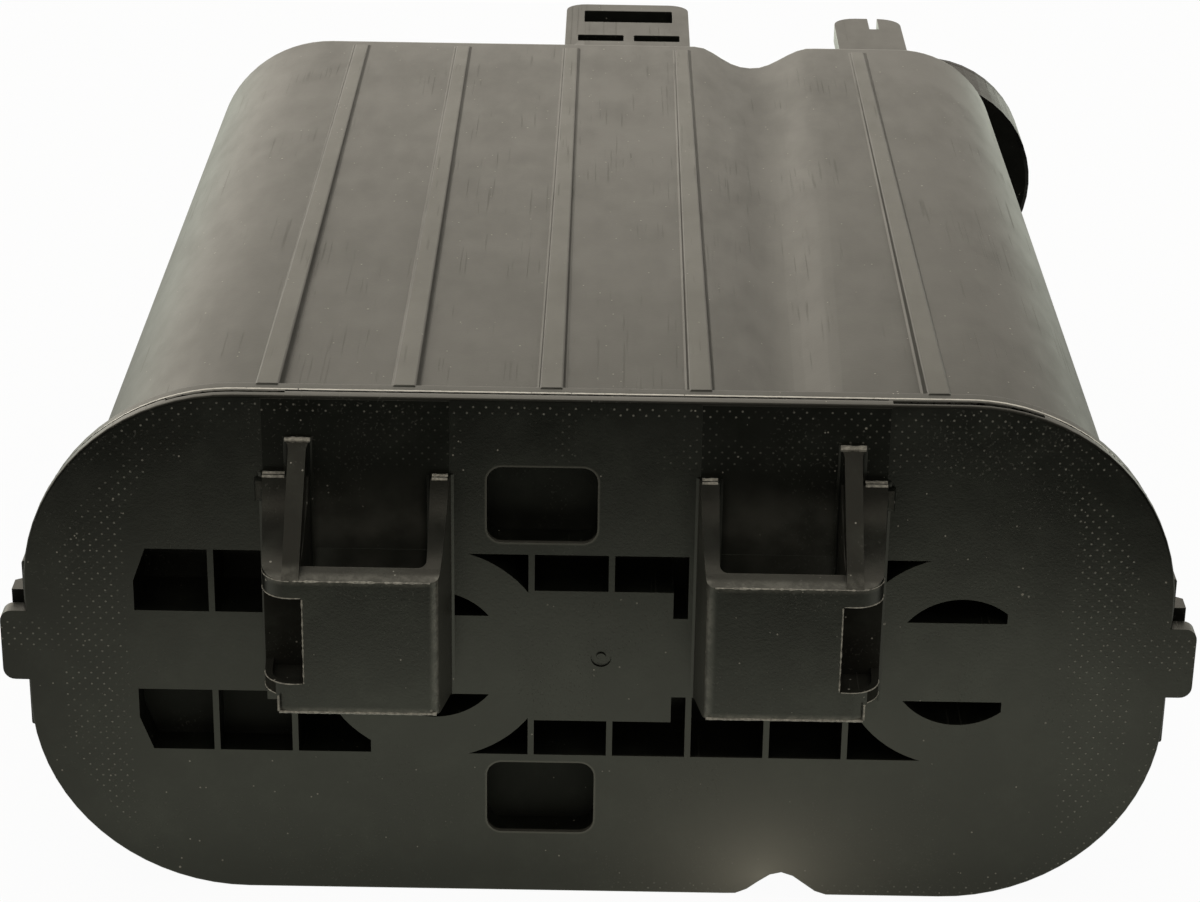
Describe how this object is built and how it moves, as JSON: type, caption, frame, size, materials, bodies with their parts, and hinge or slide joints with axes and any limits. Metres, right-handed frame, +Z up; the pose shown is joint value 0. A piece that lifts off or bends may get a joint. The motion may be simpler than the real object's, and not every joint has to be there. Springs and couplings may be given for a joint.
{
  "type": "charcoal canister",
  "caption": "Moulded fuel vapour canister with a ribbed two-chamber housing, a latticed end cover with mounting brackets, sprung charcoal beds and a round vent filter.",
  "frame": {"origin": "centre of the bounding box, on the plane that the cover's lower edge rests on", "axes": "+X across the width towards the small vent chamber, +Y along the length from the end cover to the hose stems and vent filter, +Z up"},
  "size_m": [0.2194, 0.308, 0.1019],
  "materials": {
    "housing_plastic": "satin black moulded plastic",
    "cover_plastic": "satin black moulded plastic, lightly scuffed",
    "plate_plastic": "natural grey moulded plastic",
    "spring_steel": "drawn wire",
    "filter_foam": "open-cell foam",
    "charcoal": "packed charcoal pellets",
    "seal_rubber": "black rubber"
  },
  "bodies": {
    "root": {"canister_body": "housing_plastic", "end_cover": "cover_plastic", "main_pressure_plate": "plate_plastic", "vent_pressure_plate": "plate_plastic", "main_spring": "spring_steel", "vent_spring": "spring_steel", "main_front_pad": "filter_foam", "vent_front_pad": "filter_foam", "main_charcoal_bed": "charcoal", "vent_charcoal_bed": "charcoal", "tank_port_pad": "filter_foam", "purge_port_pad": "filter_foam", "vent_rear_pad": "filter_foam", "vent_filter_housing": "housing_plastic", "vent_filter_lid": "housing_plastic", "vent_filter_foam": "filter_foam", "vent_seal": "seal_rubber"}
  },
  "joints": []
}
